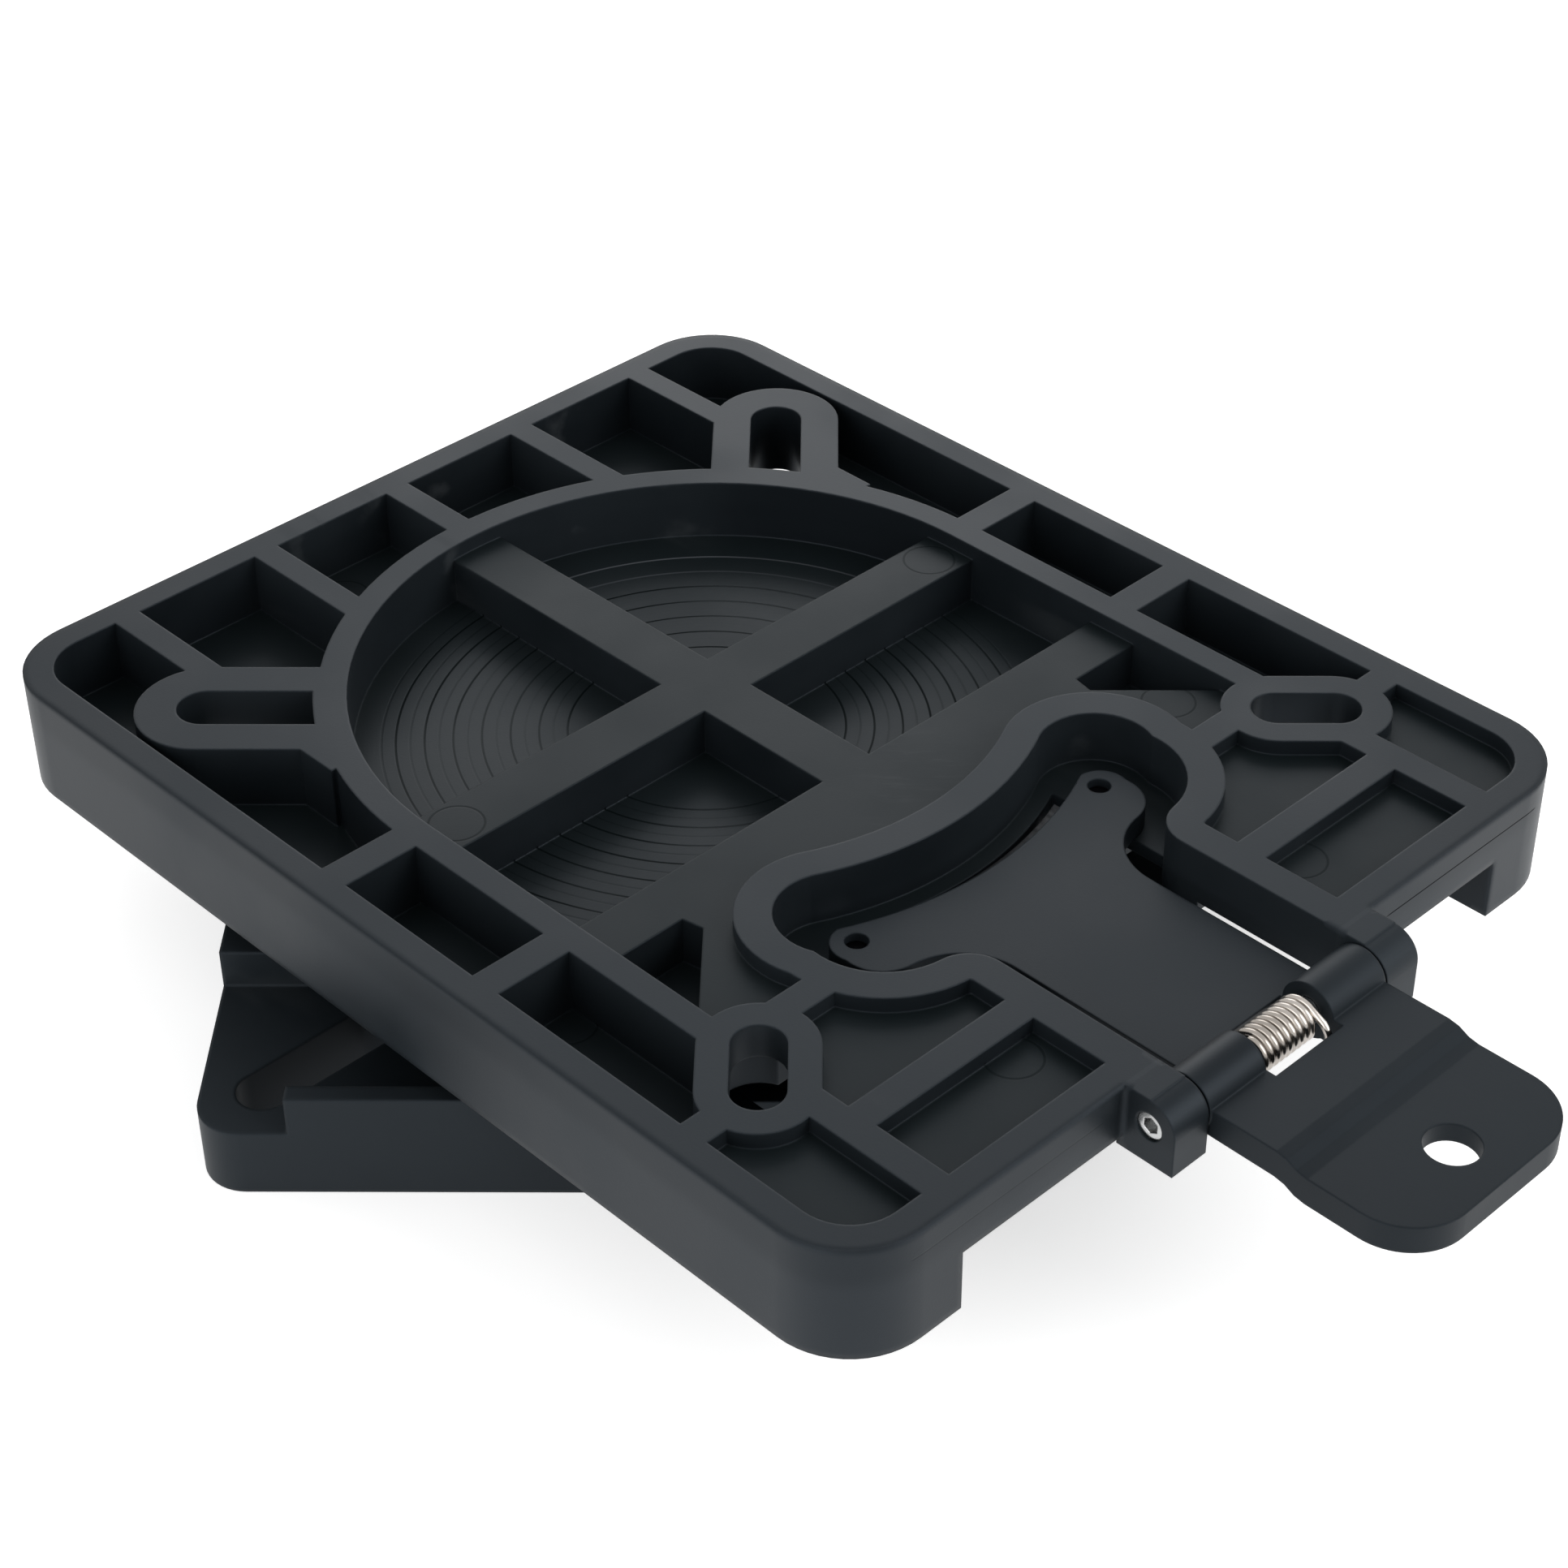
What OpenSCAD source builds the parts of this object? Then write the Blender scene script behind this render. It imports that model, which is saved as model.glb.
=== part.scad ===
// Quick-release swivel seat base: a ribbed seat plate that slides over a round disc on a
// square base plate, with a sprung release lever hinged in its front edge.
// Origin: on the swivel axis, on the mounting face of the base. The lever points to -Y.

/* [Seat plate] */
// Width of the seat plate
seat_w = 178; // [176:1:190]
// Length of the seat plate, front to back
seat_l = 217; // [217:1:230]
// Depth of its outer skirt
seat_h = 22; // [22:0.5:26]
// Distance from the swivel axis to the back edge
seat_back = 92.5; // [92:0.5:94]
// Radius of its four corners
seat_corner_r = 15; // [12:0.5:18]
// Width of the rim round its top face
rim_w = 5.5; // [5:0.5:6]
// Radius of the rim's inner corners
rim_inner_r = 9.5; // [7:0.5:11]
// Thickness of the skirt below the web
skirt_t = 4; // [3:0.5:5]
// Depth of the pockets in the top face
pocket_d = 12; // [11:0.5:12.5]
// Thickness of the web under them
web_t = 2.5; // [2:0.5:2.5]
// Depth of the shallow pockets at the front
shallow_d = 3; // [2:0.5:4]
// Depth of the front wall between the feet
front_wall_h = 10.5; // [9.5:0.5:12]

/* [Ring and ribs] */
// Inner radius of the ring wall
ring_r = 63.5; // [62:0.5:65]
// Thickness of the ring wall and its straight legs
ring_t = 5.3; // [4:0.1:6]
// Width of the cross inside the ring
cross_w = 11.4; // [8:0.2:14]
// How far the cross lies below the top face
cross_drop = 3; // [2:0.5:4]
// Distance from the axis to the back edge of the front band
band_y = 35.2; // [32:0.2:38]
// Width of the front band
band_w = 10.3; // [8:0.1:12]
// Width of the ribs beside the ring
side_rib_w = 6.3; // [4:0.1:8]
// Distance between the two side ribs
side_rib_pitch = 38.4; // [36:0.2:40]
// Width of the ribs behind the ring
back_rib_w = 5.4; // [4:0.2:7]
// Distance between the ribs behind the ring
back_rib_pitch = 31.5; // [29:0.5:33]

/* [Seat bolt slots] */
// Width of the two back slots
back_slot_w = 10; // [8:0.5:11]
// Sideways place of the back slots' outer ends
back_slot_x = 69.9; // [69:0.1:71]
// Radius of the boss round a back slot
back_boss_r = 12.4; // [11:0.2:12.6]
// Width of the two front slots
front_slot_w = 9; // [8:0.5:10]
// Length of the front slots
front_slot_l = 19.4; // [16:0.2:21]
// Sideways place of the front slots' middle
front_slot_x = 66.5; // [65.5:0.5:67.5]
// Radius of the boss round a front slot
front_boss_r = 9.8; // [9:0.1:10.5]

/* [Lever pocket] */
// Depth of the lever pocket
lever_pocket_d = 10.1; // [10.1:0.1:10.6]
// Clearance all round the arm of the lever
neck_gap = 5.7; // [4.5:0.1:6]
// Thickness of the wall round the pocket
pocket_wall = 6.4; // [5:0.2:7]
// Radius of the pocket's back wall about the swivel axis
pocket_arc_r = 61.6; // [61:0.1:62]
// Half width of the window in the pocket's floor
window_hw = 27; // [26:0.5:28]

/* [Lever] */
// Half width of the lever's arm
arm_hw = 16.3; // [15:0.1:18]
// Thickness of head and arm
lever_t = 4.4; // [4:0.1:4.5]
// Depth of the lever's top face below the seat face
lever_drop = 5.6; // [5.5:0.1:5.8]
// Radius of the head's concave edge about the swivel axis
head_arc_r = 69.5; // [69:0.1:70.5]
// Half width of the handle
handle_hw = 21.4; // [20:0.2:21.6]
// Thickness of the handle's edge
handle_t = 5.1; // [4.5:0.1:6]
// Distance from the hinge to the end of the handle
handle_l = 44.4; // [40:0.2:60]
// Radius of the handle's end corners
handle_corner_r = 11; // [8:0.5:14]
// Diameter of the hole in the handle
handle_hole_d = 9.2; // [6:0.2:12]
// Distance from the end of the handle to that hole
handle_hole_back = 10.2; // [10:0.1:14]
// Depth of the latch tooth below the head
tooth_h = 8.4; // [7.6:0.1:8.8]
// Half width of the latch tooth
tooth_hw = 23; // [18:0.5:24]
// Thickness of the steel latch plate let into the head
latch_t = 1.8; // [1.4:0.1:2]
// Thickness of its tooth
tooth_t = 3; // [2:0.5:4]
// Diameter of the two screws that hold it
latch_screw_d = 4; // [3.6:0.1:4.2]

/* [Hinge] */
// Distance from the seat plate's front face to the hinge axis
hinge_out = 5; // [4.8:0.1:6]
// Depth of the hinge axis below the seat face
hinge_drop = 5.3; // [5.2:0.1:5.6]
// Radius of the lever's barrels
barrel_r = 5.1; // [4.6:0.1:5.2]
// Diameter of the hinge screw
pin_d = 5; // [4.6:0.1:5]
// Running clearance of the barrels on the screw, on the radius
pin_fit = 0.05; // [0.03:0.01:0.08]
// Thickness of the two ears
ear_t = 8; // [7:0.5:10]
// Depth of the ears
ear_h = 12.5; // [12:0.5:14]
// Gap between an ear and the barrel beside it
ear_gap = 0.4; // [0.2:0.1:0.8]
// Half width of the gap between the barrels, for the spring
spring_gap_hw = 8.3; // [8.2:0.1:9]
// Diameter of the spring's wire
wire_d = 1.3; // [1.1:0.1:1.3]
// Number of turns in the spring
spring_turns = 9; // [7:1:9]

/* [Disc] */
// Radius of the disc
disc_r = 65; // [62:0.5:66]
// Thickness of the disc
disc_t = 4.2; // [4:0.1:4.4]
// Running gap above and below the disc
disc_gap = 0.3; // [0.2:0.05:0.4]
// Gap between the disc's edge and the channel
disc_side_gap = 0.4; // [0.3:0.1:0.6]
// How far the seat plate's lips reach under the disc
lip_reach = 7.4; // [5:0.2:8]
// Radius of the circle of screws
screw_circle_r = 40; // [36:1:46]
// Number of screws that hold the disc
screw_n = 6; // [3:1:8]
// Diameter of the screws
screw_d = 5; // [4:0.5:6]
// Outer radius of the slip ring
slip_r = 60; // [56:0.5:61]
// Width of the slip ring
slip_w = 9; // [6:0.5:11]
// Thickness of the slip ring
slip_t = 1.6; // [1.2:0.1:2]

/* [Base plate] */
// Width across the square base plate
base_w = 166; // [164:1:176]
// Height of its flange
flange_h = 13; // [11:0.5:15]
// Height of its raised band and lips
base_h = 20.5; // [19:0.5:22]
// Radius of its corners
base_corner_r = 8; // [6:0.5:12]
// Wall and web thickness
base_wall = 3; // [2.5:0.5:4]
// Half width of the raised band
band_hw = 45.4; // [43:0.2:50]
// Half length of the front and rear lips
base_lip_hl = 67; // [60:0.5:69]
// Thickness of those lips
base_lip_t = 3.5; // [3:0.5:5]
// Gap between the seat plate's skirt and the base plate's top
plate_gap = 5.5; // [5:0.5:8]
// Width of the corner slots
base_slot_w = 9.8; // [8:0.2:10.4]
// Distance from the square's corner to the end centre of a corner slot
base_slot_edge = 15.4; // [15:0.2:20]
// Length of the corner slots between their end centres
base_slot_l = 24; // [18:0.5:26]
// How far the front and back corners are cut off
base_cut = 18; // [17:0.5:20]

/* [Hidden] */
$fn = 96;
eps = 0.02;
over = 1;
diagonal = 45;

// Levels
skirt_z = base_h + plate_gap;
top_z = skirt_z + seat_h;
floor_z = top_z - pocket_d;
web_z = floor_z - web_t;
front_web_t = 3.5;
front_web_z = top_z - shallow_d - front_web_t;
pocket_floor_z = top_z - lever_pocket_d;
ledge_z = pocket_floor_z - web_t;
disc_top_z = web_z - disc_gap;
disc_z = disc_top_z - disc_t;
lip_z = disc_z - disc_gap;

// Plan of the seat plate
seat_front = seat_back - seat_l;
seat_mid = (seat_back + seat_front) / 2;
rim_hw = seat_w / 2 - rim_w;
rim_back = seat_back - rim_w;
rim_front = seat_front + rim_w;
leg_r = ring_r + ring_t;
channel_r = disc_r + disc_side_gap;
channel_t = 4;
lip_r = channel_r - lip_reach;
wall_back = -72.5;
front_zone = -76;
band_front = -(band_y + band_w);

// Front cells
corner_x = 48;
corner_nose_x = 47.2;
corner_nose_l = 4.1;
corner_l = 20.3;
cell_back = -78.3;
cell_mid = -98.3;
cell_rib = 6;
cell_side = 63;
side_pocket_front = -83.4;
corner_cell_back = -89.2;

// Lever pocket and head: two round lobes a side and an arc about the swivel axis
neck_hw = arm_hw + neck_gap;
pocket_lobe_a = [31.7, -64.6];
pocket_lobe_ra = 10.4;
pocket_lobe_b = [26.5, -70];
pocket_lobe_rb = 14.7;
pocket_fillet = 7;
head_lobe_a = [29.6, -67.8];
head_lobe_ra = 5;
head_lobe_b = [27, -70.3];
head_lobe_rb = 7.4;
head_fillet = 12.5;
latch_screw_x = 29.7;
latch_screw_y = -67.2;
latch_screw_sink = 1.6;
latch_hw = 32;
latch_front = -75;
latch_back = -64.2;
latch_edge = 1.2;
seat_gap = 0.1;
screw_fit = 0.05;
window_r = disc_r;
window_front = -106;
neck_back = -96;
slot_land = 0.7;
slot_reach = 8;
tooth_gap = 2;
tooth_r = disc_r + tooth_gap;

// Hinge
hinge_y = seat_front - hinge_out;
hinge_z = top_z - hinge_drop;
ear_in = neck_hw;
ear_out = neck_hw + ear_t;
ear_front_r = 5.1;
barrel_out = ear_in - ear_gap;
lever_top = top_z - lever_drop;
lever_z = lever_top - lever_t;
handle_end = hinge_y - handle_l;
handle_hole_y = handle_end + handle_hole_back;
shoulder_drop = 4.3;
shoulder_l = 17.5;
shoulder_slope = 6;
grip_drop = 6;
shoulder_top = top_z - shoulder_drop;
shoulder_end = hinge_y - shoulder_l;
grip_start = shoulder_end - shoulder_slope;
grip_top = top_z - grip_drop;
bend_y = 1;
bend_z = 0.5;
grip_recess = 1.6;
grip_edge = 3;
spring_window_in = 5.4;
spring_window_out = 6.9;
spring_window_back = hinge_y + spring_window_in;
spring_window_front = hinge_y - spring_window_out;
socket_d = 3;
pin_recess = 0.4;
wire_fit = 0.15;
coil_fit = 0.2;
coil_space = 0.12;
socket_deep = 3;
insert_r = 3.6;
insert_l = 6;
coil_r = pin_d / 2 + wire_d / 2 + coil_fit;
coil_pitch = wire_d + coil_space;

// Screws
screw_head_r = screw_d * 0.95;
screw_l = 16;
screw_post_r = screw_d / 2 + 2.5;
drive_d = screw_d * 0.5;
drive_h = 1.6;
screw_sink = 0.3;
screw_clear = 0.2;
screw_top = disc_top_z - screw_sink;
screw_cone = screw_head_r - screw_d / 2;
hub_r = lip_r - 1;
base_hw = base_w / 2;
base_corner = base_hw * sqrt(2);
base_slot_r = base_corner - base_slot_edge;
base_cut_y = base_corner - base_cut;
short_slot_l = 16;
short_slot_r = base_cut_y - base_slot_edge;
full_turn = 360;
right_angle = 90;
hub_rib_step = 60;
slip_land = 0.1;

// Plan shapes

module round_rect(x0, y0, x1, y1, r) {
    translate([x0 + r, y0]) square([x1 - x0 - 2 * r, y1 - y0]);
    translate([x0, y0 + r]) square([x1 - x0, y1 - y0 - 2 * r]);
    for (x = [x0 + r, x1 - r], y = [y0 + r, y1 - r]) translate([x, y]) circle(r = r);
}

module capsule(a, b, r) {
    d = b - a;
    translate(a) rotate(atan2(d[1], d[0])) {
        circle(r = r);
        translate([norm(d), 0]) circle(r = r);
        translate([0, -r]) square([norm(d), 2 * r]);
    }
}

module both_sides() {
    children();
    mirror([1, 0, 0]) children();
}

module slab(z0, z1) {
    translate([0, 0, z0]) linear_extrude(height = z1 - z0) children();
}

module seat_outline(inset, r) {
    hw = seat_w / 2 - inset;
    round_rect(-hw, seat_front + inset, hw, seat_back - inset, r);
}

// A circle about the axis with straight legs to the front
module arch(r, front) {
    circle(r = r);
    translate([-r, front]) square([2 * r, -front]);
}

// Anchor shape of the lever's head and of its pocket, with a blend down to the neck
module anchor(a, ra, b, rb, arc_r, hw, fillet, front) {
    fx = hw + fillet;
    fy = b[1] - sqrt(pow(rb + fillet, 2) - pow(fx - b[0], 2));
    f = [fx, fy];
    t = b + (f - b) * rb / norm(f - b);
    inner = a * (arc_r - ra) / norm(a);
    difference() {
        both_sides() {
            translate(a) circle(r = ra);
            translate(b) circle(r = rb);
            polygon([[-over, inner[1]], inner, a, b, t, f, [hw - over, fy], [-over, fy]]);
        }
        circle(r = arc_r);
        both_sides() translate(f) circle(r = fillet);
    }
    translate([-hw, front]) square([2 * hw, fy + over - front]);
}

module pocket_plan(grow) {
    anchor(pocket_lobe_a, pocket_lobe_ra + grow, pocket_lobe_b, pocket_lobe_rb + grow,
        pocket_arc_r - grow, neck_hw + grow, pocket_fillet - grow, seat_front + skirt_t);
}

module head_plan() {
    anchor(head_lobe_a, head_lobe_ra, head_lobe_b, head_lobe_rb,
        head_arc_r, arm_hw, head_fillet, hinge_y);
}

// Seat plate

function slot_point(x, side) = [x, seat_mid + side * x];

module back_slot(r) {
    capsule(slot_point(back_slot_x, 1), slot_point(ring_r - slot_reach, 1), r);
}

module front_slot(r) {
    half = (front_slot_l - front_slot_w) / 2 * cos(diagonal);
    capsule(slot_point(front_slot_x - half, -1), slot_point(front_slot_x + half, -1), r);
}

module ring_wall() {
    difference() {
        arch(leg_r, wall_back - over);
        arch(ring_r, wall_back - 2 * over);
    }
}

module ribs_plan() {
    both_sides() for (y = [0, -side_rib_pitch])
        translate([ring_r + ring_t / 2, y - side_rib_w / 2]) square([rim_hw - ring_r, side_rib_w]);
    for (i = [-2:2]) translate([i * back_rib_pitch - back_rib_w / 2, back_rib_start(i)])
        square([back_rib_w, rim_back + over - back_rib_start(i)]);
}

// A back rib starts inside the ring's wall
function back_rib_start(i) =
    let (x = min(abs(i) * back_rib_pitch, ring_r)) sqrt(pow(ring_r + ring_t * 0.7, 2) - x * x);

module open_plan() {
    difference() {
        round_rect(-rim_hw, rim_front, rim_hw, rim_back, rim_inner_r);
        translate([-leg_r + ring_t / 2, rim_front - over])
            square([2 * leg_r - ring_t, wall_back - rim_front + over]);
        both_sides() cell(leg_r - ring_t, rim_front - over, rim_hw + over, side_pocket_front);
    }
}

module cross_bars() {
    reach = ring_r + ring_t / 2;
    translate([-cross_w / 2, -band_y - over]) square([cross_w, band_y + over + reach]);
    translate([-reach, -cross_w / 2]) square([2 * reach, cross_w]);
}

module land_plan() {
    reach = ring_r + ring_t / 2;
    difference() {
        translate([-reach, wall_back - over]) square([2 * reach, -band_y - wall_back + over]);
        both_sides() polygon([[ring_r, band_front], [corner_x, band_front],
            [corner_nose_x, band_front - corner_nose_l], [ring_r, band_front - corner_l]]);
    }
}

module cell(x0, y0, x1, y1) {
    translate([x0, y0]) square([x1 - x0, y1 - y0]);
}

module shallow_plan() {
    x0 = neck_hw + pocket_wall;
    both_sides() {
        cell(x0, cell_mid, cell_side, cell_back);
        cell(x0, rim_front, cell_side, cell_mid - cell_rib);
    }
    intersection() {
        round_rect(-rim_hw, rim_front, rim_hw, rim_back, rim_inner_r);
        both_sides() cell(leg_r, rim_front, rim_hw + over, corner_cell_back);
    }
}

module foot_cavity() {
    intersection() {
        seat_outline(skirt_t, seat_corner_r - skirt_t);
        cell(channel_r + channel_t, seat_front, seat_w, front_zone - channel_t);
    }
}

module under_ribs() {
    w = channel_t;
    both_sides() {
        for (y = [0, -side_rib_pitch])
            translate([channel_r + w / 2, y - w / 2]) square([rim_hw - channel_r + w / 2, w]);
        translate([back_rib_pitch - w / 2, ring_r]) square([w, rim_back - ring_r + w / 2]);
    }
}

module side_cavity() {
    difference() {
        seat_outline(skirt_t, seat_corner_r - skirt_t);
        arch(channel_r + channel_t, seat_front);
        translate([-seat_w, seat_front - over]) square([2 * seat_w, front_zone - seat_front + over]);
        under_ribs();
    }
}

module ear() {
    translate([ear_in, 0, 0]) rotate([90, 0, 90]) linear_extrude(height = ear_t) {
        translate([hinge_y, hinge_z]) circle(r = ear_front_r);
        translate([hinge_y - ear_front_r, top_z - ear_h])
            square([ear_front_r, hinge_z - top_z + ear_h]);
        translate([hinge_y, top_z - ear_h]) square([seat_front - hinge_y + over, ear_h]);
    }
}

module seat_body() {
    difference() {
        slab(skirt_z, top_z) seat_outline(0, seat_corner_r);
        slab(floor_z, top_z + over) open_plan();
        slab(top_z - shallow_d, top_z + over) shallow_plan();
        // Hollows beside and behind the channel, and in the feet
        slab(skirt_z - over, web_z) side_cavity();
        slab(skirt_z - over, front_web_z) both_sides() foot_cavity();
    }
    grid_z = web_z + web_t / 2;
    slab(grid_z, top_z) {
        ring_wall();
        ribs_plan();
        both_sides() difference() {
            back_slot(back_boss_r);
            circle(r = ring_r + ring_t / 2);
        }
    }
    slab(front_web_z - over, top_z) both_sides() front_slot(front_boss_r);
    slab(grid_z, floor_z + over) both_sides() front_slot(front_boss_r);
    slab(grid_z, top_z - cross_drop) {
        cross_bars();
        land_plan();
    }
}

module seat_plate() {
    color("#3a4149") difference() {
        union() {
            difference() {
                seat_body();
                // Channel for the disc, open to the front, with lips below it
                slab(lip_z, web_z) arch(channel_r, front_zone);
                slab(skirt_z - over, lip_z + eps) arch(lip_r, front_zone);
                // Hollow front, open between the feet
                slab(skirt_z - over, front_web_z) cell(-channel_r, seat_front + skirt_t,
                    channel_r, front_zone + eps);
                slab(skirt_z - over, top_z - front_wall_h) cell(-channel_r, seat_front - over,
                    channel_r, seat_front + skirt_t + eps);
            }
            slab(ledge_z, top_z) pocket_plan(pocket_wall);
            both_sides() ear();
        }
        // Lever pocket, its window and the neck
        slab(pocket_floor_z, top_z + over) pocket_plan(0);
        slab(skirt_z, top_z) intersection() {
            cell(-window_hw, window_front, window_hw, 0);
            difference() {
                pocket_plan(0);
                circle(r = window_r);
            }
        }
        slab(skirt_z - over, top_z + over) cell(-neck_hw, seat_front - over, neck_hw, neck_back);
        // The wall beside the arm ends level with the front wall
        slab(skirt_z - over, top_z - front_wall_h) cell(-neck_hw - 2 * pocket_wall,
            seat_front + skirt_t, neck_hw + 2 * pocket_wall, neck_back);
        // Bolt slots
        both_sides() {
            slab(web_z, front_web_z) front_slot(front_boss_r - web_t);
            slab(skirt_z - over, top_z + over) difference() {
                back_slot(back_slot_w / 2);
                circle(r = leg_r + slot_land);
            }
            slab(skirt_z - over, top_z + over) front_slot(front_slot_w / 2);
        }
        // Hinge bores and the insert's seat
        hinge_bore(pin_d / 2 + pin_fit, -ear_out - over, ear_out + over);
        hinge_bore(insert_r, ear_out - insert_l, ear_out + over);
    }
}

module hinge_bore(r, x0, x1) {
    translate([x0, hinge_y, hinge_z]) rotate([0, 90, 0]) cylinder(r = r, h = x1 - x0);
}

// Release lever

module lever_side() {
    mid = (shoulder_end + grip_start) / 2;
    mid_z = (shoulder_top + grip_top) / 2;
    polygon([
        [hinge_y, shoulder_top], [shoulder_end, shoulder_top],
        [mid + bend_y, mid_z + bend_z], [mid - bend_y, mid_z - bend_z],
        [grip_start, grip_top], [handle_end - over, grip_top],
        [handle_end - over, grip_top - handle_t], [grip_start, grip_top - handle_t],
        [mid - bend_y, mid_z - bend_z - handle_t],
        [mid + bend_y, mid_z + bend_z - handle_t],
        [shoulder_end, shoulder_top - handle_t], [hinge_y, shoulder_top - handle_t]
    ]);
}

module handle_plan(inset) {
    hw = handle_hw - inset;
    r = handle_corner_r - inset;
    translate([-hw, handle_end + inset + r]) square([2 * hw, hinge_y - handle_end - inset - r]);
    translate([-hw + r, handle_end + inset]) square([2 * (hw - r), r + over]);
    for (x = [-hw + r, hw - r]) translate([x, handle_end + inset + r]) circle(r = r);
}

module release_lever() {
    color("#4a5159") difference() {
        union() {
            slab(lever_z, lever_top) head_plan();
            intersection() {
                translate([-handle_hw - over, 0, 0]) rotate([90, 0, 90])
                    linear_extrude(height = 2 * (handle_hw + over)) lever_side();
                slab(skirt_z, top_z) handle_plan(0);
            }
            translate([-barrel_out, hinge_y, hinge_z]) rotate([0, 90, 0])
                cylinder(r = barrel_r, h = 2 * barrel_out);
        }
        slab(skirt_z, top_z + over) translate([-spring_gap_hw, spring_window_front])
            square([2 * spring_gap_hw, spring_window_back - spring_window_front]);
        hinge_bore(pin_d / 2 + pin_fit, -barrel_out - over, barrel_out + over);
        latch_holes();
        slab(lever_z - over, lever_z + latch_t) latch_plan(seat_gap);
        translate([0, handle_hole_y, skirt_z]) cylinder(d = handle_hole_d, h = seat_h);
        // Shallow recess under the grip
        slab(skirt_z, grip_top - handle_t + grip_recess) intersection() {
            handle_plan(grip_edge);
            translate([-handle_hw, handle_end]) square([2 * handle_hw, grip_start - handle_end]);
        }
    }
}

// Latch: a steel plate in the head with a tooth turned down in front of the disc

module latch_holes() {
    both_sides() translate([latch_screw_x, latch_screw_y, skirt_z])
        cylinder(d = latch_screw_d + 2 * screw_fit, h = seat_h);
}

module latch_plan(gap) {
    difference() {
        cell(-latch_hw - gap, latch_front - gap, latch_hw + gap, latch_back + gap);
        circle(r = head_arc_r + latch_edge - gap);
    }
    tooth_plan(gap, -latch_front - tooth_r);
}

module tooth_plan(gap, t) {
    intersection() {
        cell(-tooth_hw - gap, latch_front - gap, tooth_hw + gap, 0);
        difference() {
            circle(r = tooth_r + t);
            circle(r = tooth_r - gap);
        }
    }
}

module latch_plate() {
    color("#2b2d30") difference() {
        union() {
            slab(lever_z, lever_z + latch_t) latch_plan(0);
            slab(lever_z - tooth_h, lever_z + eps) tooth_plan(0, tooth_t);
        }
        latch_holes();
    }
}

module latch_screws() {
    color("#2b2d30") both_sides() translate([latch_screw_x, latch_screw_y, lever_z])
        cylinder(d = latch_screw_d, h = lever_t - latch_screw_sink);
}

module hinge_screw() {
    x0 = -ear_out + pin_recess;
    x1 = ear_out - pin_recess;
    color("#c9ccd0") difference() {
        translate([x0, hinge_y, hinge_z]) rotate([0, 90, 0]) cylinder(d = pin_d, h = x1 - x0);
        translate([x0 - over, hinge_y, hinge_z]) rotate([0, 90, 0])
            cylinder(d = socket_d, h = socket_deep + over, $fn = 6);
        translate([spring_start, hinge_y, hinge_z])
            cylinder(d = wire_d + 2 * wire_fit, h = pin_d);
    }
}

module hinge_insert() {
    color("#b79a55") translate([ear_out - insert_l, hinge_y, hinge_z]) rotate([0, 90, 0])
        difference() {
            cylinder(r = insert_r, h = insert_l);
            translate([0, 0, -over]) cylinder(r = pin_d / 2 + pin_fit, h = insert_l + 2 * over);
        }
}

// Torsion spring: an inner end in the screw's cross hole, the coil, and a leg that
// passes down through the lever's window and bears under the handle

spring_start = -spring_gap_hw + 1.6;
wire_sides = 8;
coil_steps = 20;
leg_angle = 120;

function coil_point(a, r) = [
    spring_start + coil_pitch * (a - right_angle) / full_turn,
    hinge_y + r * cos(a),
    hinge_z + r * sin(a)
];

coil_step = full_turn / coil_steps;
coil_end = full_turn * spring_turns + leg_angle;
leg_x = coil_point(coil_end, coil_r)[0];
leg_under = shoulder_top - handle_t - wire_d / 2 - pin_fit;
leg_out = 5.9;
leg_bend = 1.2;
leg_l = 15;
pin_end_r = 0.8;

spring_path = concat(
    [for (r = [pin_end_r, coil_r - pin_end_r]) coil_point(right_angle, r)],
    [for (a = [right_angle + coil_step:coil_step:coil_end]) coil_point(a, coil_r)],
    [
        [leg_x, hinge_y - leg_out + leg_bend, hinge_z + leg_bend],
        [leg_x, hinge_y - leg_out + leg_bend / 5, hinge_z - leg_bend / 5],
        [leg_x, hinge_y - leg_out, leg_under + leg_bend],
        [leg_x, hinge_y - leg_out - leg_bend / 2, leg_under + leg_bend / 5],
        [leg_x, hinge_y - leg_out - 2 * leg_bend, leg_under],
        [leg_x, hinge_y - leg_l, leg_under]
    ]
);

function unit(v) = v / norm(v);

function path_dir(p, i) = unit(p[min(i + 1, len(p) - 1)] - p[max(i - 1, 0)]);

function ring_points(p, i, r, n) =
    let (t = path_dir(p, i), u = unit([1, 0, 0] - t[0] * t), v = cross(t, u))
    [for (k = [0:n - 1]) p[i] + r * (cos(k * full_turn / n) * u + sin(k * full_turn / n) * v)];

module wire(p, r, n) {
    m = len(p);
    points = [for (i = [0:m - 1]) each ring_points(p, i, r, n)];
    sides = [for (i = [0:m - 2], k = [0:n - 1])
        let (a = i * n + k, b = i * n + (k + 1) % n)
        each [[a, a + n, b], [b, a + n, b + n]]];
    polyhedron(points, concat(
        [[for (k = [0:n - 1]) k]],
        sides,
        [[for (k = [n - 1:-1:0]) (m - 1) * n + k]]
    ));
}

module torsion_spring() {
    color("#d5d8db") wire(spring_path, wire_d / 2, wire_sides);
}

// Disc and base

module screw_places() {
    for (i = [0:screw_n - 1]) rotate(i * full_turn / screw_n) translate([screw_circle_r, 0, 0]) children();
}

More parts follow.
